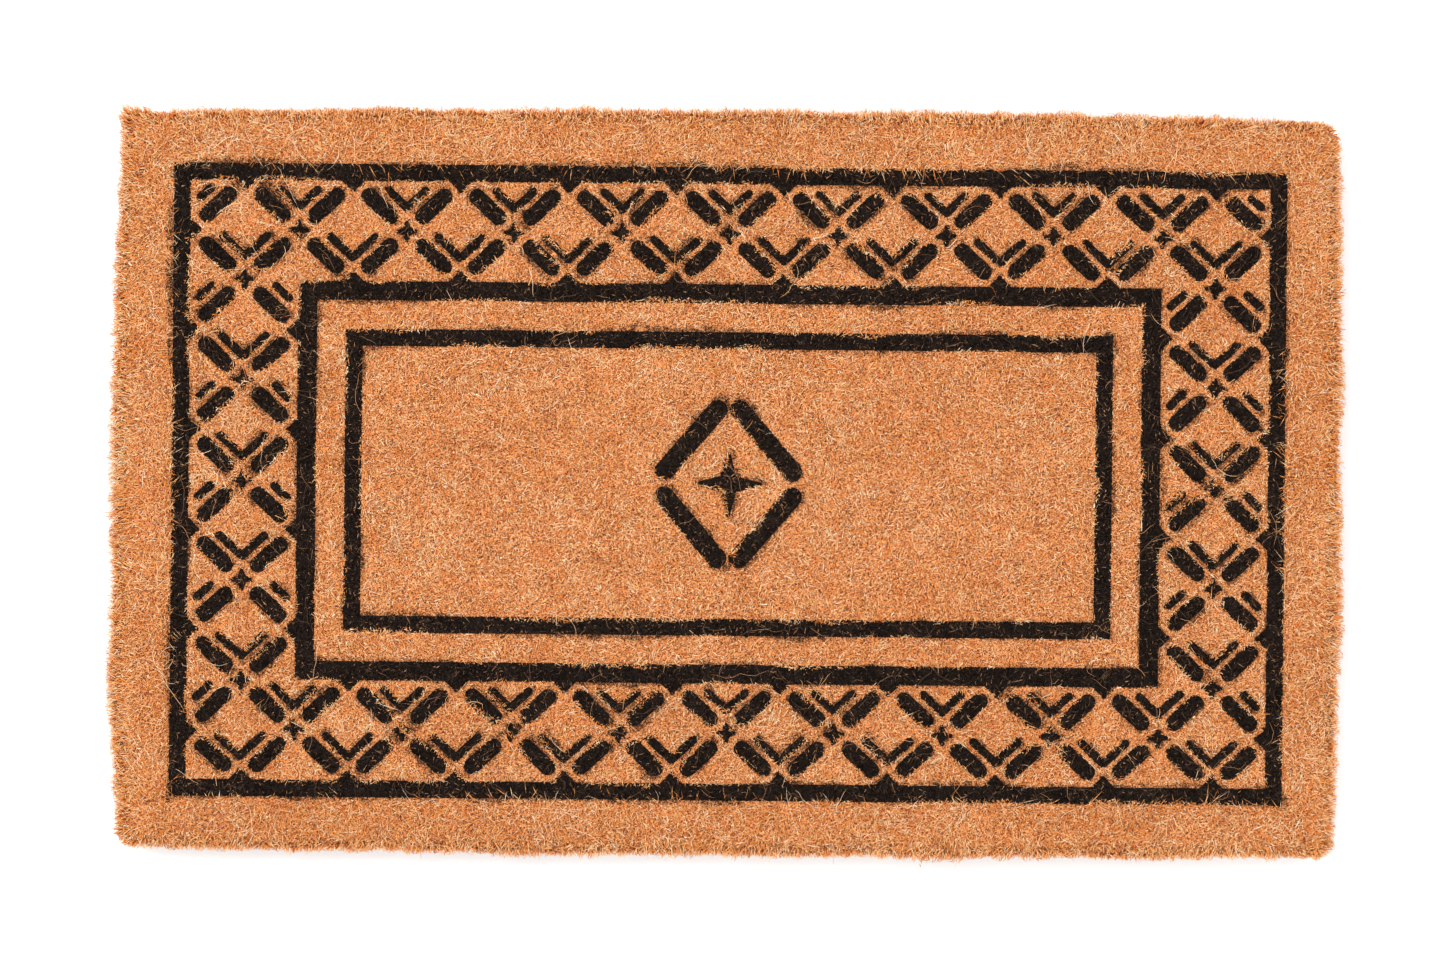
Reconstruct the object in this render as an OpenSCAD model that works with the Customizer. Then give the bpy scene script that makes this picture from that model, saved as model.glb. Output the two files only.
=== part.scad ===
// Handwoven coir door mat: a woven cord ground, edges bound with rope, and a deep cut pile
// whose dyed tufts draw three frames, a diamond lattice border and a centre medallion.
// +X runs along the mat, +Y across it, and the mat lies on z = 0 with its centre at the origin.

/* [Mat] */
// Length of the pile outline, along X
mat_l = 914; // [762:1:1100]
// Width of the pile outline, along Y
mat_w = 555; // [462:1:670]
// Overall thickness, from the floor to the pile's tips
mat_h = 38; // [25:0.5:60]
// Radius of the outline's corners
corner_r = 15; // [5:1:35]
// Rounding of the pile's top edge, where the outer tufts lean outward
pile_edge_r = 9; // [2:0.5:14]

/* [Woven ground] */
// Spacing of the warp cords, which run along the mat, evened out to fill the width
warp_pitch = 12.5; // [9:0.5:25]
// Width of a warp cord
warp_w = 8.5; // [5:0.5:8.5]
// Thickness of a warp cord
warp_h = 4.5; // [2.5:0.5:5]
// Spacing of the weft cords, which run across the mat on top of the warp, evened out as well
weft_pitch = 11.5; // [9:0.5:25]
// Width of a weft cord
weft_w = 8; // [5:0.5:8.5]
// Thickness of a weft cord
weft_h = 5; // [4:0.5:8]

/* [Edge binding] */
// Width of the rope bound round the underside's edge
rope_w = 13; // [9:0.5:20]
// Thickness of the stitching twine
stitch_t = 1.4; // [0.8:0.1:2]
// Width of one stitch, along the rope
stitch_w = 4; // [2:0.5:8]
// Spacing of the stitches along the rope
stitch_pitch = 26; // [15:1:60]
// How far the pile leans out past the bound edge
pile_overhang = 9; // [4:1:20]

/* [Frames] */
// Undyed margin between the outline and the outer frame
margin_w = 40.5; // [30:0.5:60]
// Line width of the outer frame
outer_line_w = 12.8; // [8:0.1:18]
// Line width of the middle frame, which closes the lattice border
middle_line_w = 14.4; // [8:0.1:18]
// Undyed band between the middle frame and the panel frame
inner_band_w = 21.4; // [15:0.1:35]
// Line width of the panel frame
panel_line_w = 12.8; // [7:0.1:16]

/* [Lattice border] */
// Half steps of the lattice along the mat, inside the outer frame
steps_x = 20; // [16:2:24]
// Half steps of the lattice across the mat, inside the outer frame
steps_y = 12; // [10:2:14]
// Width of a lattice bar
bar_w = 12.2; // [8:0.1:15]
// From a lattice crossing to the end of each bar
bar_end_gap = 10.4; // [8:0.1:13]
// Width of a chevron's leg
leg_w = 6.4; // [4:0.1:8]
// Undyed gap between a chevron's leg and the bar below it
leg_gap = 3.6; // [2:0.1:5]
// From a chevron's tips up to the diamond's waist
leg_tip_gap = 4.5; // [2:0.1:8]
// From a chevron's tips to a frame's line, where the frame cuts its diamond
leg_frame_gap = 7; // [4:0.1:9]
// Width of a star, point to point
star_w = 16; // [9:0.1:18]
// Width of a star's waist
star_waist = 8; // [3:0.1:10]
// Width of a star's blunt points
star_tip = 2.4; // [1:0.1:4]
// Width of a tooth at the frame's line
tooth_w = 17.5; // [10:0.1:20]
// Height of a tooth above the line
tooth_h = 8.6; // [5:0.1:10]
// Radius of a tooth's tip
tooth_tip_r = 2; // [1:0.1:3]

/* [Medallion] */
// Length of the medallion, along X
medallion_l = 112; // [90:1:140]
// Width of the medallion, along Y
medallion_w = 130; // [105:1:160]
// Line width of the medallion's bars
medallion_line_w = 15; // [10:0.5:18]
// From the medallion's points to the end of each bar
medallion_gap = 10; // [8:0.5:14]
// Width of the star in the middle, point to point
medallion_star_w = 50; // [30:1:60]
// Width of that star's waist
medallion_waist = 17; // [8:1:24]

/* [Hidden] */
$fn = 48;

coir = [0.80, 0.56, 0.35];
cord = [0.66, 0.47, 0.29];
dyed = [0.09, 0.075, 0.065];

// Levels: the cords lie on the floor, and the pile stands on the ground's top.
ground_h = warp_h + weft_h;
pile_h = mat_h - ground_h;
rope_h = ground_h - 2 * stitch_t;

// The bound edge sits inside the leaning pile, and the cords end at its inner face.
binding_l = mat_l - 2 * pile_overhang;
binding_w = mat_w - 2 * pile_overhang;
binding_t = rope_w + 2 * stitch_t;
ground_l = binding_l - 2 * binding_t;
ground_w = binding_w - 2 * binding_t;

// Each frame's outer and inner sizes.
outer_l = mat_l - 2 * margin_w;
outer_w = mat_w - 2 * margin_w;
lattice_l = outer_l - 2 * outer_line_w;
lattice_w = outer_w - 2 * outer_line_w;
step_x = lattice_l / steps_x;
step_y = lattice_w / steps_y;
band_steps = 2;
middle_l = lattice_l - 2 * band_steps * step_x;
middle_w = lattice_w - 2 * band_steps * step_y;
band_l = middle_l - 2 * middle_line_w;
band_w = middle_w - 2 * middle_line_w;
panel_l = band_l - 2 * inner_band_w;
panel_w = band_w - 2 * inner_band_w;
centre_l = panel_l - 2 * panel_line_w;
centre_w = panel_w - 2 * panel_line_w;

// The lattice's diagonal, and where a chevron lies above the crossing below it.
slope = atan2(step_y, step_x);
bar_l = norm([step_x, step_y]) - 2 * bar_end_gap;
leg_rise = (bar_w / 2 + leg_gap + leg_w / 2) / cos(slope);

// Where the middles of a row of cords lie: evenly from edge to edge, with one on the centre line.
function cord_places(room, cord_w, pitch) =
    let (half = (room - cord_w) / 2, count = floor(half / pitch))
    [for (k = [-count : count]) k * half / count];

// True for a lattice cell that lies in the border, and for one of its crossings.
function in_border(i, j) =
    i < band_steps || i >= steps_x - band_steps || j < band_steps || j >= steps_y - band_steps;
function crossing(i, j) = (i + j) % 2 == 1;
function cell_x(i) = (i - steps_x / 2) * step_x;
function cell_y(j) = (j - steps_y / 2) * step_y;

// Cells whose upper edge is a frame's line, or whose waist side is.
function under_frame(i, j) =
    j == steps_y - 1 ||
    (j == band_steps - 1 && i >= band_steps && i < steps_x - band_steps);
function left_of_frame(i, j) =
    i == steps_x - 1 ||
    (i == band_steps - 1 && j >= band_steps && j < steps_y - band_steps);
function right_of_frame(i, j) =
    i == 0 ||
    (i == steps_x - band_steps && j >= band_steps && j < steps_y - band_steps);

module centred(l, w) {
    square([l, w], center = true);
}

module ring(outer, inner) {
    difference() {
        centred(outer[0], outer[1]);
        centred(inner[0], inner[1]);
    }
}

// A bar with round ends, length l over all, centred along X.
module round_bar(l, w) {
    centred(l - w, w);
    for (end = [-1, 1])
        translate([end * (l - w) / 2, 0])
            circle(d = w);
}

module star(w, waist) {
    r = waist / 2 / sqrt(2);
    t = star_tip / 2;
    for (turn = [0 : 90 : 270])
        rotate(turn)
            polygon([[0, 0], [r, -r], [w / 2, -t], [w / 2, t], [r, r]]);
}

// A tooth that stands up from y = 0 and reaches a little below it, into the frame's line.
module tooth() {
    root = 1;
    polygon([
        [-tooth_w / 2, -root], [tooth_w / 2, -root], [tooth_w / 2, 0],
        [tooth_tip_r, tooth_h - tooth_tip_r], [-tooth_tip_r, tooth_h - tooth_tip_r],
        [-tooth_w / 2, 0]
    ]);
    translate([0, tooth_h - tooth_tip_r])
        circle(r = tooth_tip_r);
}

// Teeth at the crossings on all four sides of a line from half step `first` to its mirror.
module teeth(first, outward) {
    turn = outward ? 0 : 180;
    for (i = [first : steps_x - first])
        if (crossing(i, first) && i > first && i < steps_x - first) {
            translate([cell_x(i), cell_y(steps_y - first)]) rotate(turn) tooth();
            translate([cell_x(i), cell_y(first)]) rotate(turn + 180) tooth();
        }
    for (j = [first : steps_y - first])
        if (crossing(first, j) && j > first && j < steps_y - first) {
            translate([cell_x(steps_x - first), cell_y(j)]) rotate(turn - 90) tooth();
            translate([cell_x(first), cell_y(j)]) rotate(turn + 90) tooth();
        }
}

module outer_frame_2d() {
    ring([outer_l, outer_w], [lattice_l, lattice_w]);
    teeth(0, false);
}

module middle_frame_2d() {
    ring([middle_l, middle_w], [band_l, band_w]);
    teeth(band_steps, true);
}

// One bar on the diagonal of every border cell.
module bars_2d() {
    for (i = [0 : steps_x - 1], j = [0 : steps_y - 1])
        if (in_border(i, j))
            translate([cell_x(i + 0.5), cell_y(j + 0.5)])
                rotate(crossing(i, j) ? slope : -slope)
                    round_bar(bar_l, bar_w);
}

// A chevron's right-hand leg, from `start` to `end` across from the crossing at the origin.
module leg(start, end) {
    along = (end - start) / cos(slope);
    translate([start, leg_rise + start * tan(slope)])
        rotate(slope) {
            translate([0, -leg_w / 2])
                square([along, leg_w]);
            for (x = [0, along])
                translate([x, 0])
                    circle(d = leg_w);
        }
}

// The leg above the crossing at a cell's foot. It stops short of the diamond's waist, or of the
// frame that cuts its diamond.
module cell_leg(i, j) {
    cut_top = under_frame(i, j);
    rises_right = crossing(i, j);
    cut_side = rises_right ? right_of_frame(i, j) : left_of_frame(i, j);
    tip_y = step_y - (cut_top ? leg_frame_gap : leg_tip_gap);
    translate([cell_x(rises_right ? i : i + 1), cell_y(j)])
        mirror([rises_right ? 0 : 1, 0])
            leg(cut_side ? leg_frame_gap : 0, (tip_y - leg_rise) / tan(slope));
}

module chevrons_2d() {
    for (i = [0 : steps_x - 1], j = [0 : steps_y - 1])
        if (in_border(i, j))
            cell_leg(i, j);
}

// Stars at the crossings inside the border, clear of both frames.
module stars_2d() {
    for (i = [1 : steps_x - 1], j = [1 : steps_y - 1])
        if (crossing(i, j) && (i == 1 || i == steps_x - 1 || j == 1 || j == steps_y - 1))
            translate([cell_x(i), cell_y(j)])
                star(star_w, star_waist);
}

module medallion_2d() {
    side = norm([medallion_l, medallion_w]) / 2;
    lean = atan2(medallion_w, medallion_l);
    for (sx = [-1, 1], sy = [-1, 1])
        translate([sx * medallion_l / 4, sy * medallion_w / 4])
            rotate(-sx * sy * lean)
                round_bar(side - medallion_gap, medallion_line_w);
    star(medallion_star_w, medallion_waist);
}

// A block of tufts standing on the ground.
module pile() {
    translate([0, 0, ground_h])
        linear_extrude(pile_h)
            children();
}

// The cross-section of the whole pile, w wide, with its top edges rounded.
module pile_section(w) {
    translate([-w / 2, ground_h])
        square([w, pile_h - pile_edge_r]);
    translate([-w / 2 + pile_edge_r, ground_h])
        square([w - 2 * pile_edge_r, pile_h]);
    for (side = [-1, 1])
        translate([side * (w / 2 - pile_edge_r), mat_h - pile_edge_r])
            circle(r = pile_edge_r);
}

module pile_outline() {
    for (turned = [0, 1])
        centred(mat_l - 2 * corner_r * turned, mat_w - 2 * corner_r * (1 - turned));
    for (sx = [-1, 1], sy = [-1, 1])
        translate([sx * (mat_l / 2 - corner_r), sy * (mat_w / 2 - corner_r)])
            circle(r = corner_r);
}

// A cord of flattened round section that lies along X on z = 0, centred.
module flat_cord(l, w, h) {
    rotate([90, 0, 90])
        linear_extrude(l, center = true)
            translate([0, h / 2])
                round_bar(w, h);
}

// The loops of twine round one rope, which lies along X with its outer face towards -Y.
module stitches(l) {
    count = floor((l - stitch_w) / stitch_pitch);
    for (k = [0 : count])
        translate([(k - count / 2) * stitch_pitch, 0, 0])
            rotate([90, 0, 90])
                linear_extrude(stitch_w, center = true)
                    difference() {
                        translate([0, ground_h / 2]) centred(binding_t, ground_h);
                        translate([0, ground_h / 2]) centred(rope_w, rope_h);
                    }
}

// Puts something made along X at each long edge, or at each short edge.
module at_long_edge(side) {
    translate([0, side * (binding_w - binding_t) / 2, 0])
        children();
}

module at_short_edge(side) {
    translate([side * (binding_l - binding_t) / 2, 0, 0])
        rotate(90)
            children();
}

module rope(l) {
    translate([0, 0, stitch_t])
        flat_cord(l, rope_w, rope_h);
}

module warp_cords() {
    color(cord)
        for (y = cord_places(ground_w, warp_w, warp_pitch))
            translate([0, y, 0])
                flat_cord(ground_l, warp_w, warp_h);
}

module weft_cords() {
    color(cord)
        for (x = cord_places(ground_l, weft_w, weft_pitch))
            translate([x, 0, warp_h])
                rotate(90)
                    flat_cord(ground_w, weft_w, weft_h);
}

module edge_rope_front() {
    color(cord) at_long_edge(-1) rope(binding_l - 2 * stitch_t);
}

module edge_rope_back() {
    color(cord) at_long_edge(1) rope(binding_l - 2 * stitch_t);
}

module edge_rope_left() {
    color(cord) at_short_edge(-1) rope(ground_w);
}

module edge_rope_right() {
    color(cord) at_short_edge(1) rope(ground_w);
}

module edge_stitching() {
    color(coir)
        for (side = [-1, 1]) {
            at_long_edge(side) stitches(ground_l);
            at_short_edge(side) stitches(ground_w);
        }
}

module margin_pile() {
    color(coir)
        difference() {
            intersection() {
                pile() pile_outline();
                rotate([90, 0, 90]) linear_extrude(mat_l, center = true) pile_section(mat_w);
                rotate([90, 0, 0]) linear_extrude(mat_w, center = true) pile_section(mat_l);
            }
            linear_extrude(mat_h + 1) centred(outer_l, outer_w);
        }
}

module outer_frame_pile() {
    color(dyed) pile() outer_frame_2d();
}

module lattice_ground_pile() {
    color(coir)
        pile()
            difference() {
                ring([lattice_l, lattice_w], [middle_l, middle_w]);
                outer_frame_2d();
                middle_frame_2d();
                bars_2d();
                chevrons_2d();
                stars_2d();
            }
}

module lattice_bar_pile() {
    color(dyed) pile() bars_2d();
}

module lattice_chevron_pile() {
    color(dyed) pile() chevrons_2d();
}

module lattice_star_pile() {
    color(dyed) pile() stars_2d();
}

module middle_frame_pile() {
    color(dyed) pile() middle_frame_2d();
}

module inner_band_pile() {
    color(coir) pile() ring([band_l, band_w], [panel_l, panel_w]);
}

module panel_frame_pile() {
    color(dyed) pile() ring([panel_l, panel_w], [centre_l, centre_w]);
}

module centre_panel_pile() {
    color(coir)
        pile()
            difference() {
                centred(centre_l, centre_w);
                medallion_2d();
            }
}

module medallion_pile() {
    color(dyed) pile() medallion_2d();
}

warp_cords();
weft_cords();
edge_rope_front();
edge_rope_back();
edge_rope_left();
edge_rope_right();
edge_stitching();
margin_pile();
outer_frame_pile();
lattice_ground_pile();
lattice_bar_pile();
lattice_chevron_pile();
lattice_star_pile();
middle_frame_pile();
inner_band_pile();
panel_frame_pile();
centre_panel_pile();
medallion_pile();
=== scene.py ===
"""Handwoven coir door mat, seen from above: cut pile, woven cord ground and rope-bound edges,
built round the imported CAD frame. Everything is in metres, in the frame's own axes."""
import math

import bmesh
import bpy
import numpy as np
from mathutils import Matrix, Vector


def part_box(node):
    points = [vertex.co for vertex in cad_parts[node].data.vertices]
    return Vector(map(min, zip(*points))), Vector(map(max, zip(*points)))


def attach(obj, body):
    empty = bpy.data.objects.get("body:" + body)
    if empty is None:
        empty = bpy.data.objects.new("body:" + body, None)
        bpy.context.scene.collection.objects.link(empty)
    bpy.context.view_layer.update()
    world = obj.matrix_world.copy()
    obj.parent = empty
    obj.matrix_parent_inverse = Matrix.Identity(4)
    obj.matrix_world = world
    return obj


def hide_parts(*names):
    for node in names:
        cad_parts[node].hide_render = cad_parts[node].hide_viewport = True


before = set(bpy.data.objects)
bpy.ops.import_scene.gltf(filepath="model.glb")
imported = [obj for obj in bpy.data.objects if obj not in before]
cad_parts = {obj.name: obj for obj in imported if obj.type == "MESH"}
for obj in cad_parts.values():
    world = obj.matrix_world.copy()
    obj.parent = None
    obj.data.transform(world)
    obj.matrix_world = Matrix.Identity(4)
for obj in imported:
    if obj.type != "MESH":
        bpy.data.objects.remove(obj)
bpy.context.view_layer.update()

MM = 0.001

NATURAL = ("margin_pile", "lattice_ground_pile", "inner_band_pile", "centre_panel_pile")
DYED = (
    "outer_frame_pile", "lattice_bar_pile", "lattice_chevron_pile", "lattice_star_pile",
    "middle_frame_pile", "panel_frame_pile", "medallion_pile",
)
PILE = NATURAL + DYED

(LEFT, FRONT, GROUND_TOP), (RIGHT, BACK, TOP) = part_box("margin_pile")

# Pile
BED_DEPTH = 4.5 * MM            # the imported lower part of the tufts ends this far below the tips
FIBRE_SPACING = 1.22 * MM
FIBRE_WIDTH = 0.61 * MM
FIBRE_TAPER = 0.62              # a fibre's width at its tip, as a share of that at its root
STRAND_SPACING = 1.8 * MM       # between the longer, combed strands of the margin
STRAND_RADIUS = 0.27 * MM
STRAND_TAPER = np.array([1.0, 0.9, 0.5])
WALL_STRANDS = 26_000           # in the mat's sides, all round
WALL_STRAND_RADIUS = 0.3 * MM
STRAYS = 3600                   # loose fibres, before some of them are left out
STRAY_STATIONS = 9              # points along each
SHOULDER = 9 * MM               # how far in from the outline the pile's top edge starts to droop
CORNER = 15 * MM                # the outline's corner radius
MARGIN = 38 * MM                # how far in from the outline its unevenness reaches
LEAN_REACH = 17 * MM            # how far in from the outline the tufts still lean outward
OUTER_TUFTS = 4.5 * MM          # the outermost roots stand this far inside the outline
EDGE_FUZZ = 0.5 * MM            # how unevenly the outermost tips end, one by one
EDGE_CLUMPS = 1.8 * MM          # and from clump to clump
PRINT_WANDER = 3.6 * MM         # how far the print's edges wander over a long stretch
PRINT_WOBBLE = 2.3 * MM         # and over a short one
BLEED = 0.5 * MM                # how far the dye spreads past them
DYE_DEPTH = 9 * MM              # the dye is full down to here below the tips,
DYE_FADE = 4 * MM               # and gone this much lower
MAP_HALF_WIDTH = 0.0016         # half a fibre's width on the colour map
MOST_TRIANGLES = 190_000        # in one piece

# Cords, whose number, width and pitch are the CAD's
WARPS, WEFTS = 39, 75
CORD_WIDTH = {"warp_cords": 8.5 * MM, "weft_cords": 8 * MM}
STITCHES_LONG, STITCHES_SHORT = 34, 20
STITCH_PITCH = 26 * MM
SIDES = ("front", "back", "left", "right")


# ---------------------------------------------------------------- small tools

def unit(v):
    return v / np.maximum(np.linalg.norm(v, axis=-1, keepdims=True), 1e-12)


def srgb(red, green, blue):
    """A colour given as 0 to 255 on screen, as the linear colour that a shader takes."""
    c = np.array([red, green, blue]) / 255
    linear = np.where(c <= 0.04045, c / 12.92, ((c + 0.055) / 1.055) ** 2.4)
    return (*linear, 1.0)


def noise(feature, seed):
    """Smooth noise from -1 to 1 over the mat's plane, with features about that many metres across."""
    reach = 0.6
    count = int(2 * reach / feature) + 3
    values = np.random.default_rng(seed).uniform(-1, 1, (count, count))

    def at(xy):
        q = (xy + reach) / feature
        low = np.clip(np.floor(q).astype(int), 0, count - 2)
        f = np.clip(q - low, 0, 1)
        f = f * f * (3 - 2 * f)
        (i, j), (u, v) = low.T, f.T
        near = values[i, j] * (1 - u) + values[i + 1, j] * u
        far = values[i, j + 1] * (1 - u) + values[i + 1, j + 1] * u
        return near * (1 - v) + far * v

    return at


def swirl(feature, seed):
    """Two such noises as one vector over the plane."""
    across, along = noise(feature, seed), noise(feature, seed + 1)
    return lambda xy: np.stack([across(xy), along(xy)], 1)


def mesh_piece(name, points, faces, material, uv=None, smooth=True):
    """A piece made of triangles. uv holds each point's place on the piece's colour map."""
    mesh = bpy.data.meshes.new(name)
    mesh.vertices.add(len(points))
    mesh.vertices.foreach_set("co", np.asarray(points, np.float32).ravel())
    corners = np.asarray(faces, np.int32).ravel()
    mesh.loops.add(len(corners))
    mesh.loops.foreach_set("vertex_index", corners)
    mesh.polygons.add(len(faces))
    mesh.polygons.foreach_set("loop_start", np.arange(len(faces), dtype=np.int32) * 3)
    mesh.polygons.foreach_set("use_smooth", np.full(len(faces), smooth))
    mesh.update(calc_edges=True)
    if uv is not None:
        layer = mesh.uv_layers.new(name="OFBake", do_init=False)
        layer.uv.foreach_set("vector", np.asarray(uv, np.float32)[corners].ravel())
    mesh.materials.append(material)
    piece = bpy.data.objects.new(name, mesh)
    bpy.context.scene.collection.objects.link(piece)
    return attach(piece, "root") or piece


class Batch:
    """Points, triangles and map places of many fibres, gathered before they become pieces."""

    def __init__(self):
        self.points, self.faces, self.uv, self.count = [], [], [], 0

    def add(self, points, faces, uv):
        self.points.append(points)
        self.faces.append(faces + self.count)
        self.uv.append(uv)
        self.count += len(points)

    def piece(self, name, material):
        return mesh_piece(
            name, np.concatenate(self.points), np.concatenate(self.faces), material,
            np.concatenate(self.uv),
        )


def blades(root, tip, root_width, tip_width, tone, rng):
    """Straight fibres, each a thin twisted wedge of four triangles: (points, faces, uv)."""
    n = len(root)
    ahead = unit(tip - root)
    spin = rng.uniform(0, math.pi, (n, 1))
    side = unit(np.cross(ahead, np.concatenate([np.cos(spin), np.sin(spin), 0.3 + 0 * spin], 1)))
    other = np.cross(ahead, side)
    low, high = side * root_width[:, None] / 2, other * tip_width[:, None] / 2
    points = np.stack([root - low, root + low, tip - high, tip + high], 1)
    faces = np.array([[0, 2, 1], [0, 1, 3], [1, 2, 3], [0, 3, 2]])
    inside_out = np.einsum(
        "ij,ij->i", np.cross(points[:, 1] - points[:, 0], points[:, 2] - points[:, 0]),
        points[:, 3] - points[:, 0]) < 0
    points[inside_out] = points[inside_out][:, [0, 1, 3, 2]]
    u = tone[:, None] + MAP_HALF_WIDTH * np.array([-1, 1, -1, 1])
    uv = np.stack([u, np.broadcast_to([0.0, 0.0, 1.0, 1.0], u.shape)], 2)
    faces = faces[None] + 4 * np.arange(n)[:, None, None]
    return points.reshape(-1, 3), faces.reshape(-1, 3), uv.reshape(-1, 2)


def tube_faces(rings, sides, end):
    """The triangles of one tube whose points are counted ring by ring, with its apex last."""
    here = np.arange(sides)
    after = (here + 1) % sides
    faces = []
    for ring in range(rings if end == "loop" else rings - 1):
        low, high = ring * sides, (ring + 1) % rings * sides
        faces.append(np.stack([low + here, low + after, high + after], 1))
        faces.append(np.stack([low + here, high + after, high + here], 1))
    fan = np.arange(1, sides - 1)
    last = (rings - 1) * sides
    if end != "loop":
        faces.append(np.stack([0 * fan, fan + 1, fan], 1))
    if end == "flat":
        faces.append(np.stack([0 * fan, fan, fan + 1], 1) + last)
    if end == "point":
        faces.append(np.stack([last + here, last + after, 0 * here + rings * sides], 1))
    return np.concatenate(faces)


def tubes(paths, radii, across, sides=3, end="point", flat=1.0, tone=None):
    """Closed tubes along many paths of k points: (points, faces, uv).
    radii holds one radius a path, a station or a side. across is a direction that no path follows,
    and flat squashes the section in the direction that is nearest to it. end is point, flat or loop."""
    n, k, _ = paths.shape
    if end == "loop":
        ahead = unit(np.roll(paths, -1, 1) - np.roll(paths, 1, 1))
    else:
        ahead = unit(np.gradient(paths, axis=1))
    first = unit(np.cross(ahead, across[:, None]))
    second = np.cross(ahead, first)
    angle = np.arange(sides) * 2 * math.pi / sides
    ring = (
        np.cos(angle)[:, None] * first[:, :, None]
        + flat * np.sin(angle)[:, None] * second[:, :, None]
    )
    radii = np.asarray(radii)
    radii = radii.reshape(radii.shape + (1,) * (3 - radii.ndim))
    points = paths[:, :, None] + radii[..., None] * ring
    rings = k - 1 if end == "point" else k
    points = points[:, :rings].reshape(n, -1, 3)
    tone = np.full(n, 0.5) if tone is None else tone
    u = tone[:, None, None] + MAP_HALF_WIDTH * np.cos(angle) + np.zeros((n, rings, sides))
    v = (np.arange(rings) / (k - 1))[:, None] + np.zeros((n, rings, sides))
    uv = np.stack([u, v], 3).reshape(n, -1, 2)

    if end == "point":
        points = np.concatenate([points, paths[:, -1:]], 1)
        apex = np.stack([tone, np.ones(n)], 1)
        uv = np.concatenate([uv, apex[:, None]], 1)
    faces = tube_faces(rings, sides, end)[None] + points.shape[1] * np.arange(n)[:, None, None]
    return points.reshape(-1, 3), faces.reshape(-1, 3), uv.reshape(-1, 2)


# ---------------------------------------------------------------- materials

class Shader:
    """A material with one Principled surface, and short ways to add nodes to it."""

    def __init__(self, name, roughness, specular=0.25, sheen=0.0):
        self.material = bpy.data.materials.new(name)
        self.material.use_nodes = True
        self.tree = self.material.node_tree
        self.surface = self.tree.nodes["Principled BSDF"]
        self.surface.inputs["Roughness"].default_value = roughness
        self.surface.inputs["Specular IOR Level"].default_value = specular
        self.surface.inputs["Sheen Weight"].default_value = sheen

    def node(self, kind, **inputs):
        node = self.tree.nodes.new(kind)
        for key, value in inputs.items():
            self.put(node.inputs[key.replace("_", " ")], value)
        return node

    def put(self, socket, value):
        if isinstance(value, bpy.types.NodeSocket):
            self.tree.links.new(value, socket)
        else:
            socket.default_value = value

    def ramp(self, factor, stops):
        node = self.node("ShaderNodeValToRGB", Fac=factor)
        while len(node.color_ramp.elements) < len(stops):
            node.color_ramp.elements.new(0.5)
        for element, (place, colour) in zip(node.color_ramp.elements, stops):
            element.position = place
            element.color = colour
        return node.outputs["Color"]

    def mix(self, kind, one, other, share=1.0):
        node = self.tree.nodes.new("ShaderNodeMix")
        node.data_type, node.blend_type = "RGBA", kind
        self.put(node.inputs[0], share)
        self.put(node.inputs[6], one)
        self.put(node.inputs[7], other)
        return node.outputs[2]

    def multiply(self, one, other):
        return self.mix("MULTIPLY", one, other)

    def own_place(self):
        return self.node("ShaderNodeTexCoord").outputs["Object"]

    def speckle(self, scale, detail=3.0, place=None):
        node = self.node(
            "ShaderNodeTexNoise", Vector=place or self.own_place(), Scale=scale, Detail=detail
        )
        return node.outputs["Fac"]

    def bump(self, height, strength, distance):
        node = self.node(
            "ShaderNodeBump", Height=height, Strength=strength, Distance=distance
        )
        self.put(self.surface.inputs["Normal"], node.outputs["Normal"])


def fibre_material(name, tones, root_shade, **finish):
    """Fibre whose tone runs along the map's u, from its darkest to its palest, and whose root is shaded
    along v. A fine streak runs down each fibre."""
    shader = Shader(name, **finish)
    uv = shader.node("ShaderNodeUVMap")
    uv.uv_map = "OFBake"
    place = shader.node("ShaderNodeSeparateXYZ", Vector=uv.outputs["UV"])
    tone = shader.ramp(place.outputs["X"], tones)
    shade = shader.ramp(place.outputs["Y"], root_shade)
    streak = shader.node("ShaderNodeTexNoise", Vector=uv.outputs["UV"], Scale=46.0, Detail=2.0)
    grain = shader.ramp(streak.outputs["Fac"], [(0.3, (0.86, 0.84, 0.82, 1)), (0.7, (1, 1, 1, 1))])
    colour = shader.multiply(shader.multiply(tone, shade), grain)
    shader.put(shader.surface.inputs["Base Color"], colour)
    return shader.material


def bed_material(name, above, below, **finish):
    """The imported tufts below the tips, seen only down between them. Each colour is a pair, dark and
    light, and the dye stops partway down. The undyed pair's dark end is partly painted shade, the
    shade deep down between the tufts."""
    shader = Shader(name, **finish)
    fine, broad = shader.speckle(1150.0), shader.speckle(60.0)
    printed = shader.ramp(fine, [(0.4, above[0]), (0.6, above[1])])
    plain = shader.ramp(fine, [(0.4, below[0]), (0.6, below[1])])
    height = shader.node("ShaderNodeSeparateXYZ", Vector=shader.own_place()).outputs["Z"]
    full = TOP - DYE_DEPTH
    share = shader.node("ShaderNodeMapRange", Value=height, From_Min=full - DYE_FADE, From_Max=full)
    colour = shader.mix("MIX", plain, printed, share.outputs["Result"])
    patches = shader.ramp(broad, [(0.3, (0.8, 0.8, 0.8, 1)), (0.7, (1, 1, 1, 1))])
    shader.put(shader.surface.inputs["Base Color"], shader.multiply(colour, patches))
    shader.bump(fine, 0.8, 1.2 * MM)
    return shader.material


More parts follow.
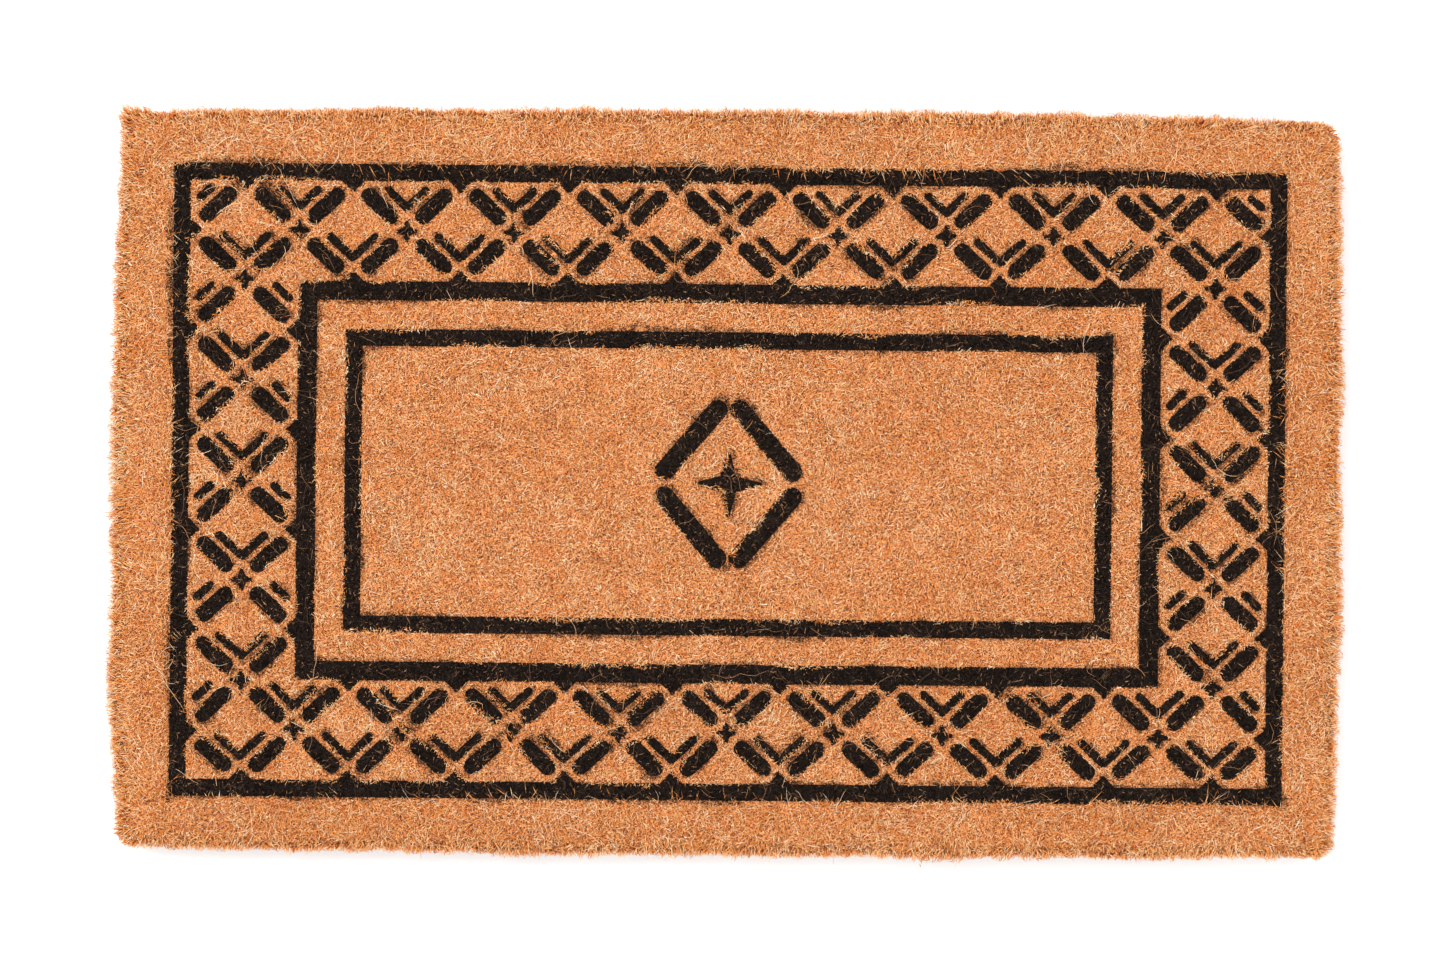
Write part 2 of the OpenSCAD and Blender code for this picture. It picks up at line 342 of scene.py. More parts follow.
def cord_material(name, dark, mid, light, strand_scale, **finish):
    """Twisted cord: fibres run round it at a slant, with loose pale ones among the darker."""
    shader = Shader(name, **finish)
    uv = shader.node("ShaderNodeUVMap")
    uv.uv_map = "Twist"
    stretched = shader.node("ShaderNodeMapping", Vector=uv.outputs["UV"])
    stretched.inputs["Scale"].default_value = (strand_scale, 6.0 * strand_scale, 1.0)
    fibres = shader.speckle(1.0, 4.0, stretched.outputs["Vector"])
    patches = shader.speckle(38.0)
    colour = shader.ramp(fibres, [(0.3, dark), (0.48, mid), (0.68, light)])
    worn = shader.ramp(patches, [(0.3, (0.78, 0.76, 0.74, 1)), (0.7, (1, 1, 1, 1))])
    shader.put(shader.surface.inputs["Base Color"], shader.multiply(colour, worn))
    shader.bump(fibres, 0.8, 0.4 * MM)
    return shader.material


ROOT_SHADE = [(0.0, (0.74, 0.5, 0.32, 1)), (0.45, (0.97, 0.9, 0.8, 1)), (1.0, (1, 1, 1, 1))]
DYED_ROOT_SHADE = [(0.0, (0.4, 0.34, 0.3, 1)), (0.5, (0.9, 0.88, 0.86, 1)), (1.0, (1, 1, 1, 1))]
COIR_TONES = [
    (0.0, srgb(136, 56, 10)),
    (0.2, srgb(210, 110, 30)),
    (0.45, srgb(233, 158, 80)),
    (0.7, srgb(241, 204, 156)),
    (1.0, srgb(248, 234, 212)),
]
DYED_TONES = [
    (0.0, srgb(8, 5, 4)),
    (0.35, srgb(24, 16, 12)),
    (0.6, srgb(46, 34, 27)),
    (0.8, srgb(80, 62, 50)),
    (0.92, srgb(122, 94, 72)),
    (1.0, srgb(214, 158, 114)),
]
# The undyed bed's dark end is partly painted shade, for the shade deep down between the tufts; its
# light end is the fibres' own colour.
COIR_BED = (srgb(92, 42, 18), srgb(226, 150, 92))
DYED_BED = (srgb(9, 6, 5), srgb(40, 30, 24))
natural_fibre = fibre_material("coir_fibre", COIR_TONES, ROOT_SHADE, roughness=0.62, sheen=0.05)
dyed_fibre = fibre_material(
    "dyed_fibre", DYED_TONES, DYED_ROOT_SHADE, roughness=0.7, specular=0.06)
natural_bed = bed_material("coir_bed", COIR_BED, COIR_BED, roughness=0.9)
dyed_bed = bed_material("dyed_bed", DYED_BED, COIR_BED, roughness=0.9, specular=0.1)
coir_cord = cord_material(
    "coir_cord", srgb(96, 52, 24), srgb(178, 118, 66), srgb(226, 178, 120), 12.0, roughness=0.8)
edge_cord = cord_material(
    "edge_rope", srgb(104, 58, 28), srgb(190, 128, 74), srgb(236, 190, 134), 14.0, roughness=0.8)
twine_cord = cord_material(
    "twine", srgb(128, 86, 48), srgb(200, 156, 102), srgb(236, 204, 154), 6.0, roughness=0.75)


# ---------------------------------------------------------------- where each node's tufts stand

CELL = 0.5 * MM
REACH = 12 * MM
COLUMNS = int((RIGHT - LEFT + 2 * REACH) / CELL)
ROWS = int((BACK - FRONT + 2 * REACH) / CELL)
ORIGIN = np.array([LEFT - REACH, FRONT - REACH])


def footprint(name):
    """The grid cells that a node covers from above: those with an odd number of its upward
    triangles' edges on their left. An edge that two triangles share is counted twice."""
    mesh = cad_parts[name].data
    mesh.calc_loop_triangles()
    co = np.empty(len(mesh.vertices) * 3, np.float32)
    mesh.vertices.foreach_get("co", co)
    corner = np.empty(len(mesh.loop_triangles) * 3, np.int32)
    mesh.loop_triangles.foreach_get("vertices", corner)
    flat = co.reshape(-1, 3)[corner].reshape(-1, 3, 3)[:, :, :2].astype(float)
    one, other = flat[:, 1] - flat[:, 0], flat[:, 2] - flat[:, 0]
    flat = flat[one[:, 0] * other[:, 1] - one[:, 1] * other[:, 0] > 1e-12]
    starts, ends = flat.reshape(-1, 2), np.roll(flat, -1, 1).reshape(-1, 2)
    swap = (starts[:, 1] > ends[:, 1])[:, None]
    low = (np.where(swap, ends, starts) - ORIGIN) / CELL
    high = (np.where(swap, starts, ends) - ORIGIN) / CELL
    first = np.ceil(low[:, 1] - 0.5).astype(int)
    count = np.ceil(high[:, 1] - 0.5).astype(int) - first
    edge = np.repeat(np.arange(len(low)), count)
    row = first[edge] + np.arange(len(edge)) - np.repeat(np.cumsum(count) - count, count)
    slope = (high[:, 0] - low[:, 0]) / np.maximum(high[:, 1] - low[:, 1], 1e-9)
    at = low[edge, 0] + (row + 0.5 - low[edge, 1]) * slope[edge]
    column = np.ceil(at - 0.5).astype(int)
    crossings = np.zeros((ROWS, COLUMNS + 1), np.int32)
    np.add.at(crossings, (row, np.clip(column, 0, COLUMNS)), 1)
    return np.cumsum(crossings, axis=1)[:, :COLUMNS] % 2 == 1


REGION = np.zeros((ROWS, COLUMNS), np.int8)
for index, name in enumerate(PILE):
    REGION[footprint(name)] = index


def region_at(xy):
    """The index in PILE of the node that covers each place, and the margin's outside them all."""
    cell = np.floor((xy - ORIGIN) / CELL).astype(int)
    column, row = np.clip(cell, 0, [COLUMNS - 1, ROWS - 1]).T
    return REGION[row, column]


# ---------------------------------------------------------------- the pile

broad_tone, fine_tone = noise(70 * MM, 1), noise(9 * MM, 3)
row_tone = noise(6.5 * MM, 4)
clump, comb = swirl(8 * MM, 5), swirl(30 * MM, 7)
lumps, locks, lock_way = noise(13 * MM, 9), noise(7 * MM, 15), swirl(10 * MM, 17)
stencil_broad, stencil_fine = swirl(60 * MM, 11), swirl(9 * MM, 13)
outline_broad, outline_fine = swirl(70 * MM, 51), swirl(19 * MM, 53)
edge_clumps = noise(5.5 * MM, 55)
HALF = np.array([RIGHT, BACK])


def inside_outline(xy):
    """How far inside the mat's outline a place is, with its rounded corners."""
    past = np.abs(xy) - (HALF - CORNER)
    return CORNER - np.linalg.norm(np.maximum(past, 0), axis=1) - np.minimum(past.max(1), 0)


def shifted(places):
    """Places over the mat, moved as its hand-cut outline moves them: it bows out between the corners,
    most on the left, and wanders a little. This fades out inside the margin."""
    xy = places.reshape(-1, 2)
    share = np.clip(1 - (HALF - np.abs(xy)) / MARGIN, 0, 1.3) ** 1.3
    bow = 1 - (xy[:, ::-1] / HALF[::-1]) ** 2
    left = xy[:, 0] < 0
    bow[:, 0] *= np.where(left, 7.5 * MM, 4.0 * MM)
    bow[:, 1] *= np.where(xy[:, 1] > 0, 5.0 * MM, 3.5 * MM)
    bow[:, 0] += left * 2.5 * MM * np.exp(-(((xy[:, 1] + 0.14) / 0.05) ** 2))
    wave = 0.9 * MM * outline_broad(xy) + 0.8 * MM * outline_fine(xy)
    ear = 6 * MM * np.exp(-((np.linalg.norm(xy - [LEFT, BACK], axis=1) / (11 * MM)) ** 2))
    moved = share * (bow - 1.5 * MM + wave) + ear[:, None]
    return (xy + np.sign(xy) * moved).reshape(places.shape)


def held_in(places, rng, fuzz=EDGE_FUZZ):
    """Places over the mat, where those past its outline come back to it, give or take the fuzz. The
    ends are uneven from one clump to the next, and a few fibres stick out."""
    xy = places.reshape(-1, 2)
    past = np.maximum(np.abs(xy) - (HALF - CORNER), 0)
    reach = np.linalg.norm(past, axis=1)
    limit = CORNER + rng.normal(0, fuzz, len(xy)) + EDGE_CLUMPS * edge_clumps(xy)
    limit += (rng.random(len(xy)) < 0.02) * rng.uniform(0, 4 * MM, len(xy))
    share = np.minimum(1, limit / np.maximum(reach, 1e-9))[:, None]
    return (xy - np.sign(xy) * past * (1 - share)).reshape(places.shape)


def outward(xy):
    """How strongly a tuft leans out over the edge, up to 1 at the outline."""
    inside = np.maximum(HALF - np.abs(xy), 0)
    lean = np.sign(xy) * np.exp(-((inside / LEAN_REACH) ** 1.5))
    return lean / np.maximum(1, np.linalg.norm(lean, axis=1, keepdims=True))


def droop(xy):
    """How far the pile's top lies below TOP, near its rounded edge."""
    past = np.clip(1 - inside_outline(xy) / SHOULDER, 0, 1)
    return SHOULDER * 0.8 * (1 - np.sqrt(1 - 0.98 * past**2))


def natural_tone(xy, rng):
    """Each undyed fibre's tone from 0, darkest, to 1, palest."""
    stretched = xy * np.array([1.0, 0.22])
    tone = 0.5 + 0.03 * broad_tone(xy) + 0.05 * fine_tone(xy) + 0.05 * row_tone(stretched)
    tone += rng.normal(0, 0.16, len(xy))
    odd = rng.random(len(xy))
    tone = np.where(odd < 0.05, rng.uniform(0.8, 1.0, len(xy)), tone)
    tone = np.where(odd > 0.94, rng.uniform(0.02, 0.25, len(xy)), tone)
    return np.clip(tone, 0.01, 0.99)


def dyed_tone(xy, rng):
    """Each dyed fibre's tone. A few took little dye, and a few none."""
    tone = 0.44 + 0.12 * fine_tone(xy) + rng.normal(0, 0.25, len(xy))
    odd = rng.random(len(xy))
    tone = np.where(odd < 0.02, rng.uniform(0.84, 0.97, len(xy)), tone)
    return np.clip(tone, 0.01, 0.97)


def scatter(spacing, low, high, rng):
    """Places over a rectangle on a jittered grid."""
    x, y = np.meshgrid(
        np.arange(low[0], high[0], spacing), np.arange(low[1], high[1], spacing)
    )
    xy = np.stack([x.ravel(), y.ravel()], 1)
    return xy + rng.uniform(-0.5, 0.5, xy.shape) * spacing


def lift(xy, z):
    """Places over the mat at the height z, which is one value or one for each."""
    return np.concatenate([xy, np.broadcast_to(z, (len(xy),))[:, None]], 1)


def standing_fibres(rng):
    """The tips of the tufts over the whole mat: (places, regions, fibres), where fibres holds their
    roots, tips, widths and tones."""
    xy = scatter(FIBRE_SPACING, -HALF, HALF, rng)
    xy = xy[inside_outline(xy) > OUTER_TUFTS]
    n = len(xy)
    lean = 0.3 * clump(xy) + 0.12 * comb(xy) + rng.normal(0, 0.46, (n, 2))
    # Here and there a lock of fibres lies over together, and single ones have fallen.
    laid = (locks(xy) > 0.5) & (rng.random(n) < 0.7)
    lean[laid] = 0.95 * unit(lock_way(xy[laid])) + rng.normal(0, 0.3, (laid.sum(), 2))
    fallen = rng.random(n) < 0.09
    lean[fallen] *= 2.4
    lean += outward(xy) * np.array([0.95, 0.6])
    depth = BED_DEPTH + 0.8 * MM + droop(xy) * 0.3
    # A print looks crisp from above, so few fibres lie across its edges.
    wobble = PRINT_WANDER * stencil_broad(xy) + PRINT_WOBBLE * stencil_fine(xy)
    across = region_at(xy + wobble) != region_at(xy + wobble + lean * depth[:, None])
    lean[across & (rng.random(n) < 0.85)] *= 0.4
    tip_xy = held_in(xy + lean * depth[:, None], rng)
    # The dye takes the upper part of a fibre, wherever its root is, and bleeds a little.
    printed = 0.3 * xy + 0.7 * tip_xy + wobble
    bleed = rng.normal(0, BLEED, (2, n, 2))
    region = np.maximum(region_at(printed + bleed[0]), region_at(printed + bleed[1]))
    dyed = region >= len(NATURAL)
    top = TOP - droop(xy) + 0.5 * MM * lumps(xy) - np.abs(rng.normal(0, 1.1 * MM, n))
    top -= dyed * 0.2 * MM
    root = lift(shifted(xy), top - depth)
    tip = lift(shifted(tip_xy), top)
    width = FIBRE_WIDTH * rng.lognormal(0, 0.28, n)
    tone = natural_tone(xy, rng) + 0.06 * laid - 0.03 * (region == 0)
    tone = np.where(dyed, dyed_tone(xy, rng), tone)
    return xy, region, (root, tip, width, np.clip(tone, 0.01, 0.99))


MARGIN_PARTS = ("front_1", "front_2", "back_1", "back_2", "left", "right")


def margin_part(xy):
    """Which of MARGIN_PARTS a place in the margin is in: its nearest edge's, and half of a long one."""
    inside = np.stack([xy[:, 1] - FRONT, BACK - xy[:, 1], xy[:, 0] - LEFT, RIGHT - xy[:, 0]], 1)
    edge = inside.argmin(1)
    return np.where(edge < 2, 2 * edge + (xy[:, 0] > 0), edge + 2)


def swept_strands(rng):
    """Long fibres in the margin, combed over the edge: (places, strands), where strands holds their
    paths, radii and tones."""
    xy = scatter(STRAND_SPACING, -HALF, HALF, rng)
    xy = xy[(region_at(xy) == 0) & (inside_outline(xy) > OUTER_TUFTS)]
    away = outward(xy)
    keep = rng.random(len(xy)) < 0.4 + 0.6 * np.linalg.norm(away, axis=1)
    xy, away = xy[keep], away[keep]
    n = len(xy)
    lean = away * np.array([1.1, 0.45]) + 0.45 * clump(xy) + 0.45 * comb(xy)
    lean += rng.normal(0, 0.45, (n, 2))
    height = BED_DEPTH + 1.5 * MM + rng.uniform(0, 1.2 * MM, n)
    top = TOP - droop(xy) + 0.5 * MM * lumps(xy) - np.abs(rng.normal(0, 0.8 * MM, n))
    t = np.array([0.0, 0.65, 1.0])
    sideways = lean[:, None] * (t + 0.7 * t**2)[None, :, None] * height[:, None, None]
    rise = (1.35 * t - 0.35 * t**2)[None] * height[:, None]
    flat = shifted(held_in(xy[:, None] + sideways, rng))
    paths = np.concatenate([flat, ((top - height)[:, None] + rise)[..., None]], 2)
    radii = STRAND_RADIUS * rng.lognormal(0, 0.22, (n, 1)) * STRAND_TAPER
    return xy, (paths, radii, np.clip(natural_tone(xy, rng) - 0.03, 0.01, 0.99))


def edge_places(count, inset, rng):
    """Places all round the outline, that far inside it, with their outward directions. They are
    closer at the corners, where they fan out."""
    straight = HALF - CORNER
    radius = CORNER - inset
    sides = 2 * np.array([straight[0], straight[1], straight[0], straight[1]])
    arc = 1.6 * radius * math.pi / 2
    ends = np.cumsum(sides + arc)
    at = rng.uniform(0, ends[-1], count)
    side = np.searchsorted(ends, at)
    along = at - (ends - sides - arc)[side]
    turn = (side + np.clip((along - sides[side]) / arc, 0, 1)) * math.pi / 2
    out = np.stack([np.sin(turn), -np.cos(turn)], 1)
    ahead = np.array([[1, 0], [0, 1], [-1, 0], [0, -1]])[side]
    centre = np.array([[-1, -1], [1, -1], [1, 1], [-1, 1]])[side] * straight
    centre = centre + ahead * np.minimum(along, sides[side])[:, None]
    return centre + radius * out, out


def wall_strands(rng):
    """Fibres of the outermost tufts, seen from the side: (places, strands), as above."""
    n = WALL_STRANDS
    xy, out = edge_places(n, OUTER_TUFTS, rng)
    z = rng.uniform(GROUND_TOP - 2.5 * MM, TOP - 7 * MM, n)
    xy = xy - out * rng.uniform(0, 2 * MM, (n, 1))
    slide = np.stack([-out[:, 1], out[:, 0]], 1)
    long = rng.uniform(6 * MM, 9 * MM, (n, 1))
    steep = np.interp(z, [GROUND_TOP, TOP], [0.4, 0.9])[:, None] * rng.uniform(0.7, 1.3, (n, 1))
    spread = (0.25 * clump(xy)[:, :1] + rng.normal(0, 0.35, (n, 1))) * slide
    reach = out * rng.uniform(0.5, 1.0, (n, 1))
    t = np.array([0.0, 0.7, 1.0])[None, :, None]
    sideways = reach[:, None] * (0.75 * t + 0.25 * t**2) + spread[:, None] * t
    flat = shifted(held_in(xy[:, None] + sideways * long[:, None], rng))
    rise = z[:, None] + steep * long * (t[..., 0] - 0.15 * t[..., 0] ** 2)
    rise = np.minimum(rise, (TOP - 1.0 * MM - 0.5 * droop(xy))[:, None])
    paths = np.concatenate([flat, rise[..., None]], 2)
    radii = WALL_STRAND_RADIUS * rng.lognormal(0, 0.22, (n, 1)) * STRAND_TAPER
    # The lower a strand starts in the side, the darker its tone: painted shade towards the bottom of
    # the mat's side.
    tone = natural_tone(xy, rng) - np.interp(z, [GROUND_TOP, TOP], [0.12, 0.02])
    return xy, (paths, radii, np.clip(tone, 0.01, 0.99))


def stray_fibres(count, rng):
    """Loose fibres that lie curled on the pile, a few past its edge: (paths, radii, tones)."""
    half = HALF - 3 * MM
    xy = rng.uniform(-half, half, (count, 2))
    k = STRAY_STATIONS
    heading = rng.uniform(0, 2 * math.pi, count)
    curl = rng.normal(0, 1.3, count)
    wander = rng.normal(0, 0.28, (count, k))
    long = 7 * MM + rng.gamma(1.8, 6.5 * MM, count)
    angle = heading[:, None] + curl[:, None] * np.linspace(0, 1, k) + np.cumsum(wander, 1)
    step = (long / (k - 1))[:, None, None]
    moves = np.stack([np.cos(angle), np.sin(angle)], 2) * step
    flat = held_in(xy[:, None] + np.cumsum(moves, 1), rng, 2.5 * MM)
    t = np.linspace(0, 1, k)
    arch = rng.uniform(0.2 * MM, 1.6 * MM, (count, 1)) * np.sin(math.pi * t)
    lie = TOP - 0.2 * MM - droop(flat.reshape(-1, 2)).reshape(count, k)
    z = lie + arch - 2.2 * MM * (1 - np.minimum(1, t * 6))
    paths = np.concatenate([shifted(flat), z[..., None]], 2)
    radii = 0.13 * MM * rng.lognormal(0, 0.25, (count, 1)) * (1 - 0.45 * t)
    return paths, radii, np.clip(rng.normal(0.78, 0.16, count), 0.25, 0.99)


def add_blades(batch, fibres, chosen, rng):
    """Adds some of the tufts' fibres to a batch."""
    root, tip, width, tone = (values[chosen] for values in fibres)
    batch.add(*blades(root, tip, width, FIBRE_TAPER * width, tone, rng))


def add_strands(batch, strands, chosen):
    """Adds some of the long strands to a batch."""
    paths, radii, tones = (values[chosen] for values in strands)
    batch.add(*tubes(paths, radii, np.tile([0.0, 0.0, 1.0], (len(paths), 1)), tone=tones))


def add_tufts(name, node, batches, material, slot):
    """One piece or more for the tufts of a node, each of which stands for it."""
    for number, batch in enumerate(batches):
        suffix = f"_{number + 1}" if len(batches) > 1 else ""
        piece = batch.piece(name + suffix, material)
        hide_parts(node)


def build_inner_tufts(places, region, fibres, rng):
    """The tufts of every node but the margin's, cut along X where one piece would be too large."""
    for index, node in enumerate(PILE):
        if node == "margin_pile":
            continue
        own = np.flatnonzero(region == index)
        parts = math.ceil(4 * len(own) / MOST_TRIANGLES)
        ordered = own[np.argsort(places[own, 0], kind="stable")]
        batches = []
        for chosen in np.array_split(ordered, parts):
            batches.append(Batch())
            add_blades(batches[-1], fibres, chosen, rng)
        finish = (dyed_fibre, "dyed_coir") if node in DYED else (natural_fibre, "natural_coir")
        add_tufts(node.replace("_pile", "_tufts"), node, batches, *finish)


def build_margin_tufts(places, region, fibres, swept, wall, rng):
    """The margin's tufts with the long strands over its edge and those in the mat's sides."""
    part = margin_part(places)
    for index, name in enumerate(MARGIN_PARTS):
        batch = Batch()
        add_blades(batch, fibres, np.flatnonzero((region == 0) & (part == index)), rng)
        for strand_places, strands in (swept, wall):
            add_strands(batch, strands, margin_part(strand_places) == index)
        add_tufts(f"margin_tufts_{name}", "margin_pile", [batch], natural_fibre, "natural_coir")


def build_strays(rng):
    """Most loose fibres lie in the margin. Those on a dyed area took some of the dye."""
    strays = stray_fibres(STRAYS, rng)
    middle = strays[0][:, STRAY_STATIONS // 2, :2]
    lies_on = region_at(middle)
    over_dye = lies_on >= len(NATURAL)
    share = np.where(over_dye, 0.5, np.where(lies_on == 0, 1.0, 0.25))
    kept = rng.random(STRAYS) < share
    paths, radii, tones = (values[kept] for values in strays)
    over_dye = over_dye[kept]
    tones = np.where(over_dye, rng.uniform(0.78, 0.99, len(paths)), tones)
    for name, chosen, material, slot in (
        ("loose_fibres", ~over_dye, natural_fibre, "natural_coir"),
        ("loose_dyed_fibres", over_dye, dyed_fibre, "dyed_coir"),
    ):
        batch = Batch()
        add_strands(batch, (paths, radii, tones), chosen)
        batch.piece(name, material)


def build_pile():
    """All the fibres, from one row of random draws, so their order matters."""
    rng = np.random.default_rng(2)
    places, region, fibres = standing_fibres(rng)
    swept, wall = swept_strands(rng), wall_strands(rng)
    build_inner_tufts(places, region, fibres, rng)
    build_margin_tufts(places, region, fibres, swept, wall, rng)
    build_strays(rng)


def build_bed(name, nodes, material, follows_outline=False):
    """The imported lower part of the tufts: the nodes' own blocks, lowered below the tips. The margin's
    is cut across often enough to follow the uneven outline."""
    blocks = bmesh.new()
    for node in nodes:
        blocks.from_mesh(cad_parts[node].data)
    bmesh.ops.triangulate(blocks, faces=blocks.faces[:])
    if follows_outline:
        for axis, (low, high) in enumerate(((LEFT, RIGHT), (FRONT, BACK))):
            normal = [1.0 - axis, float(axis), 0.0]
            for at in np.arange(low + 20 * MM, high, 20 * MM):
                everything = blocks.verts[:] + blocks.edges[:] + blocks.faces[:]
                place = [n * at for n in normal]
                bmesh.ops.bisect_plane(blocks, geom=everything, plane_co=place, plane_no=normal)
        bmesh.ops.triangulate(blocks, faces=blocks.faces[:])
    points = np.array([v.co for v in blocks.verts])
    faces = np.array([[v.index for v in f.verts] for f in blocks.faces])
    blocks.free()
    points[:, 2] -= (points[:, 2] - GROUND_TOP) / (TOP - GROUND_TOP) * BED_DEPTH
    near = np.abs(points[:, :2]) > HALF - 30 * MM
    points[:, :2] -= np.sign(points[:, :2]) * near * OUTER_TUFTS
    points[:, :2] = shifted(points[:, :2])
    mesh_piece(name, points, faces, material, smooth=False)


# ---------------------------------------------------------------- cords, ropes and stitches

def cord_piece(name, node, made, stations, sides, turns, material):
    """A piece from tubes() that stands for a node. The map runs along each cord and round it, and
    turns as its fibres do."""
    points, faces, _ = made
    piece = mesh_piece(name, points, faces, material)
    mesh = piece.data
    corner = np.empty(len(mesh.loops), np.int32)
    mesh.loops.foreach_get("vertex_index", corner)
    per = stations * sides
    station = corner % per // sides
    around = corner % sides / sides
    wraps = np.repeat(np.ptp(around.reshape(-1, 3), axis=1) > 0.5, 3)
    around = around + (wraps & (around < 0.5))
    along = station / (stations - 1)
    which = corner // per
    twist = np.stack([around + turns * along + 0.37 * which, along + 0.61 * which], 1)
    layer = mesh.uv_layers.new(name="Twist", do_init=False)
    layer.uv.foreach_set("vector", twist.astype(np.float32).ravel())
    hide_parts(node)


def lobed(stations, sides, radius, ply_turns, plies=2, depth=0.2):
    """Section radii of a cord of twisted plies, one for each station and side."""
    angle = np.arange(sides) * 2 * math.pi / sides
    turn = np.linspace(0, 2 * math.pi * ply_turns, stations)[:, None]
    return radius * (1 - depth + depth * np.abs(np.cos(plies / 2 * (angle - turn))))


def woven_cords(name, node, count, axis, spacing_other, rising):
    """One layer of the ground: cords that pass over and under those of the other layer. rising is
    1 or -1 for the layer whose middle cord is high or low where it starts to wave."""
    low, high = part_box(node)
    thick = high.z - low.z
    sides, step, ply_turn = 8, 4.4 * MM, 30 * MM
    length = high[axis] - low[axis]
    stations = int(length / step)
    width = CORD_WIDTH[node]
    centres = np.linspace(low[1 - axis] + width / 2, high[1 - axis] - width / 2, count)
    along = np.linspace(low[axis], high[axis], stations)
    parity = (-1.0) ** (np.arange(count) - count // 2)
    wave = np.cos(math.pi * along / spacing_other)[None] * parity[:, None]
    z = GROUND_TOP / 2 + rising * GROUND_TOP / 4 * wave
    paths = np.zeros((count, stations, 3))
    paths[:, :, axis] = along
    paths[:, :, 1 - axis] = centres[:, None]
    paths[:, :, 2] = z
    radii = np.tile(lobed(stations, sides, width / 2, length / ply_turn), (count, 1, 1))
    made = tubes(paths, radii, np.tile([0.0, 0.0, 1.0], (count, 1)), sides, "flat",
                 flat=0.96 * thick / width)
    cord_piece(name, node, made, stations, sides, length / ply_turn, coir_cord)


def pitch_of(node, count, axis):
    """From one cord of a layer to the next."""
    low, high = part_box(node)
    return (high[axis] - low[axis] - CORD_WIDTH[node]) / (count - 1)


def build_ground():
    """The two layers of cords, each woven to the other's pitch."""
    warp_pitch, weft_pitch = pitch_of("warp_cords", WARPS, 1), pitch_of("weft_cords", WEFTS, 0)
    woven_cords("woven_warp", "warp_cords", WARPS, 0, weft_pitch, 1)
    woven_cords("woven_weft", "weft_cords", WEFTS, 1, warp_pitch, -1)


def build_rope(side):
    """Three strands laid together, flattened as the CAD rope is, that taper at its ends."""
    node = f"edge_rope_{side}"
    low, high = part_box(node)
    axis = 0 if side in ("front", "back") else 1
    middle, size = (low + high) / 2, high - low
    width, thick, length = size[1 - axis], size.z, size[axis]
    flat, strands, sides = thick / width, 3, 10
    lay, strand_turn, fibre_turn, taper = 42 * MM, 16 * MM, 20 * MM, 9 * MM
    stations = int(length / (3.2 * MM))
    along = np.linspace(low[axis], high[axis], stations)
    paths = np.zeros((strands, stations, 3))
    for s in range(strands):
        turn = 2 * math.pi * (along / lay + s / strands)
        paths[s, :, axis] = along
        paths[s, :, 1 - axis] = middle[1 - axis] + 0.25 * width * np.cos(turn)
        paths[s, :, 2] = middle.z + 0.25 * width * flat * np.sin(turn)
    radii = lobed(stations, sides, 0.26 * width, length / strand_turn, 3, 0.12)
    from_end = np.minimum(along - along[0], along[-1] - along) / taper
    radii *= np.sqrt(1 - 0.92 * np.clip(1 - from_end, 0, 1) ** 2)[:, None]
    radii = np.tile(radii, (strands, 1, 1))
    made = tubes(paths, radii, np.tile([0.0, 0.0, 1.0], (strands, 1)), sides, "flat", flat=flat)
    cord_piece(f"rope_{side}", node, made, stations, sides, length / fibre_turn, edge_cord)


def build_stitches():
    """Slanting loops of doubled twine round the ropes."""
    k, sides, twine, slant, bend = 22, 6, 0.66 * MM, 2.2 * MM, 0.55
    angle = np.linspace(0, 2 * math.pi, k, endpoint=False)
    loops = []
    for side, count in zip(SIDES, (STITCHES_LONG,) * 2 + (STITCHES_SHORT,) * 2):
        low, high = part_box(f"edge_rope_{side}")
        axis = 0 if side in ("front", "back") else 1
        middle = (low + high) / 2
        half_width = (high[1 - axis] - low[1 - axis]) / 2 + twine
        half_height = middle.z - twine - 0.05 * MM
        across = half_width * np.sign(np.cos(angle)) * np.abs(np.cos(angle)) ** bend
        rise = half_height * np.sign(np.sin(angle)) * np.abs(np.sin(angle)) ** bend
        for number in range(count):
            at = (number - (count - 1) / 2) * STITCH_PITCH
            for doubled in (-0.8 * MM, 0.8 * MM):
                path = np.zeros((k, 3))
                path[:, axis] = at + doubled + slant * np.cos(angle)
                path[:, 1 - axis] = middle[1 - axis] + across
                path[:, 2] = middle.z + rise
                loops.append(path)
    loops = np.array(loops)
    n = len(loops)
    # The loops along X turn about X, and those along Y about Y, so each takes its own axis.
    long = 4 * STITCHES_LONG
    across = np.concatenate([np.tile([1.0, 0, 0], (long, 1)), np.tile([0, 1.0, 0], (n - long, 1))])
    made = tubes(loops, np.full(n, twine), across, sides, "loop")
    cord_piece("stitching", "edge_stitching", made, k, sides, 6, twine_cord)


# ---------------------------------------------------------------- the room

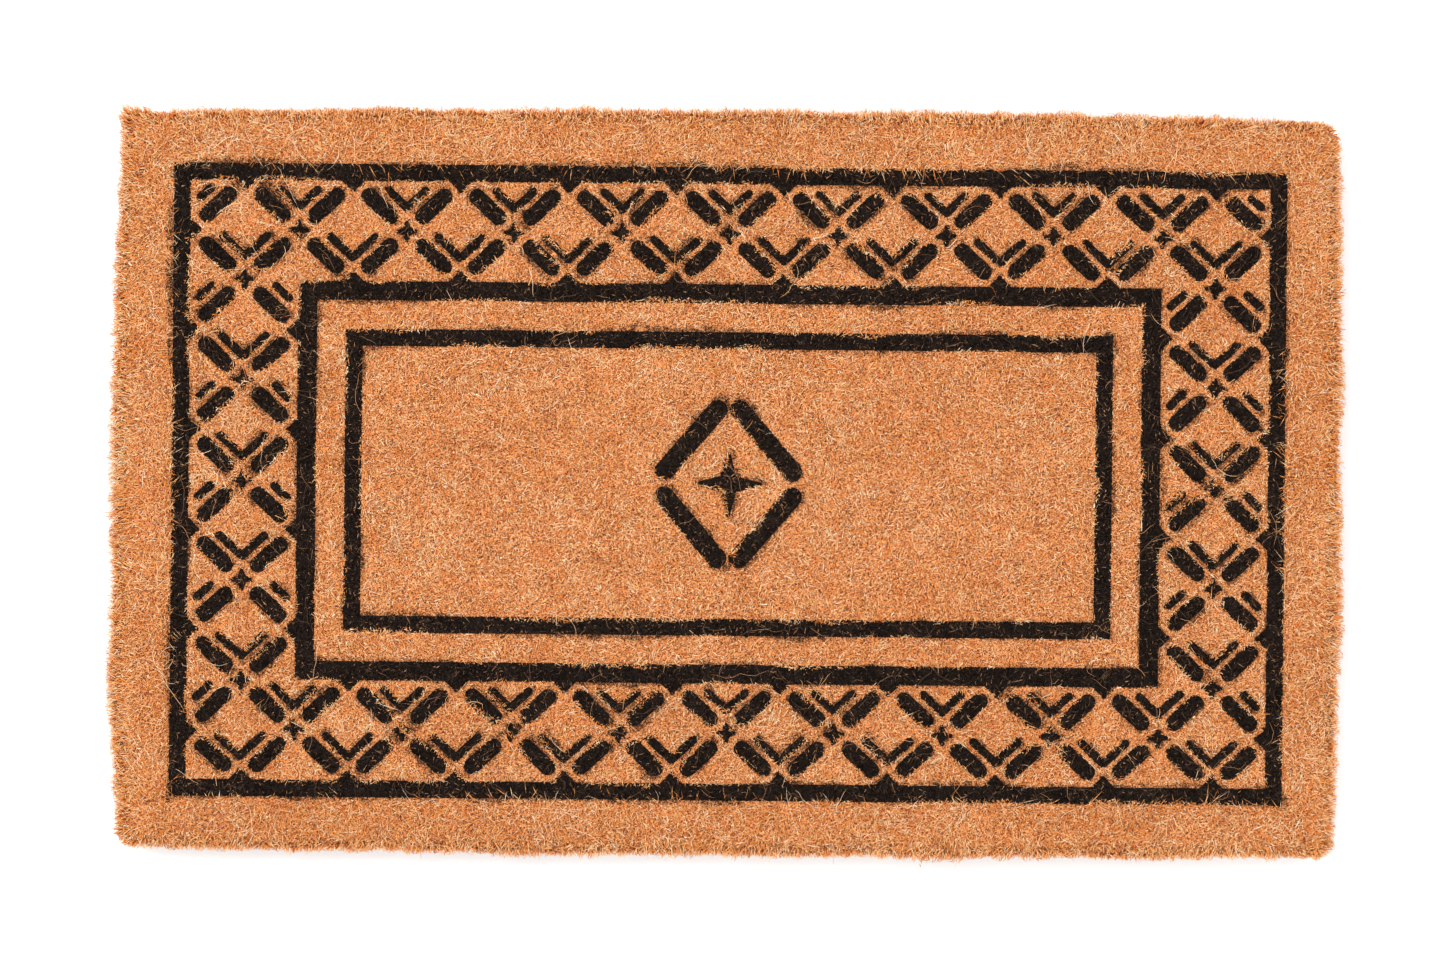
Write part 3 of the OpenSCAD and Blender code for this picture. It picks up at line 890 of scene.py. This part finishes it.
def build_room():
    """A pale floor and soft light from all round."""
    world = bpy.data.worlds.new("studio")
    world.use_nodes = True
    background = world.node_tree.nodes["Background"]
    background.inputs["Color"].default_value = (1.0, 1.0, 1.0, 1.0)
    background.inputs["Strength"].default_value = 1.68
    bpy.context.scene.world = world

    floor_mesh = bpy.data.meshes.new("floor")
    far = 12.0
    floor_mesh.from_pydata(
        [(-far, -far, 0), (far, -far, 0), (far, far, 0), (-far, far, 0)], [], [(0, 1, 2, 3)])
    floor = bpy.data.objects.new("floor", floor_mesh)
    bpy.context.scene.collection.objects.link(floor)
    pale = Shader("floor", roughness=0.9)
    pale.surface.inputs["Base Color"].default_value = (0.66, 0.66, 0.66, 1)
    floor_mesh.materials.append(pale.material)

    def lamp(name, place, size, power):
        data = bpy.data.lights.new(name, "AREA")
        data.shape, data.size, data.energy = "DISK", size, power
        light = bpy.data.objects.new(name, data)
        light.location = place
        light.rotation_mode = "QUATERNION"
        light.rotation_quaternion = (-light.location).to_track_quat("-Z", "Y")
        bpy.context.scene.collection.objects.link(light)

    lamp("key", (-1.3, 1.1, 3.0), 1.6, 72)
    lamp("fill", (1.6, -0.8, 2.8), 1.8, 34)


def build_camera():
    """Straight above, with the mat turned a little clockwise in the frame."""
    height, view_width, sensor = 2.3, 1.079, 36.0
    turn = math.radians(0.55)
    data = bpy.data.cameras.new("camera")
    data.sensor_width = sensor
    data.lens = sensor * height / view_width
    camera = bpy.data.objects.new("camera", data)
    camera.location = (-4.2 * MM, 1.9 * MM, TOP + height)
    camera.rotation_euler = (0, 0, turn)
    bpy.context.scene.collection.objects.link(camera)
    bpy.context.scene.camera = camera


bpy.context.scene.view_settings.view_transform = "Standard"
build_camera()
build_room()
build_pile()
build_bed("margin_bed", NATURAL[:1], natural_bed, follows_outline=True)
build_bed("natural_bed", NATURAL[1:], natural_bed)
build_bed("dyed_bed", DYED, dyed_bed)
build_ground()
for side_name in SIDES:
    build_rope(side_name)
build_stitches()
